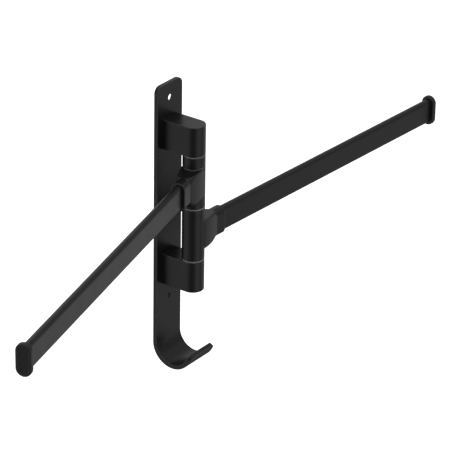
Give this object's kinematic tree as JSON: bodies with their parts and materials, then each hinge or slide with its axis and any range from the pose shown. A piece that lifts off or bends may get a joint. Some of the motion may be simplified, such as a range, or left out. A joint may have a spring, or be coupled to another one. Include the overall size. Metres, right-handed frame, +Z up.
{
  "type": "towel rack",
  "caption": "Wall-mounted swivel towel rack: flat strip plate bent into a hook at its foot, with flat-oval arms that swing about one vertical pivot.",
  "frame": {"origin": "on the wall face of the plate, on its centre line, halfway up the pivot column between the outer faces of the two lugs", "axes": "+Z up; +Y into the wall, so the rack stands out towards -Y; +X to the right of someone who faces the wall"},
  "size_m": [0.7081, 0.1282, 0.2738],
  "materials": {
    "black_paint": "matte black powder coat",
    "black_plastic": "matte black",
    "pale_nylon": "satin natural nylon",
    "dark_nylon": "satin",
    "bright_steel": "ground",
    "zinc_steel": "zinc plated",
    "black_steel": "black oxide"
  },
  "bodies": {
    "wall_bracket": {"wall_plate": "black_paint", "upper_lug": "black_paint", "lower_lug": "black_paint", "upper_lug_screws": "zinc_steel", "lower_lug_screws": "zinc_steel", "pivot_pin": "bright_steel", "pivot_plug_screw": "black_steel", "spacer_collar": "black_paint", "top_washer": "pale_nylon", "upper_washer": "pale_nylon", "middle_washer": "pale_nylon", "lower_washer": "pale_nylon"},
    "upper_arm": {"upper_arm_hub": "black_paint", "upper_hub_top_bush": "dark_nylon", "upper_hub_bottom_bush": "dark_nylon", "upper_arm_tube": "black_paint", "upper_arm_end_cap": "black_plastic", "upper_arm_grub_screws": "black_steel"},
    "lower_arm": {"lower_arm_hub": "black_paint", "lower_hub_top_bush": "dark_nylon", "lower_hub_bottom_bush": "dark_nylon", "lower_arm_tube": "black_paint", "lower_arm_end_cap": "black_plastic", "lower_arm_grub_screws": "black_steel"}
  },
  "joints": [
    {"name": "upper_arm_swing", "type": "hinge", "parent": "wall_bracket", "child": "upper_arm", "pos_m": [0, -0.031, 0], "axis": [0, 0, 1], "range_deg": [-14.6, 165.4]},
    {"name": "lower_arm_swing", "type": "hinge", "parent": "wall_bracket", "child": "lower_arm", "pos_m": [0, -0.031, 0], "axis": [0, 0, 1], "range_deg": [-176.6, 3.4]}
  ]
}
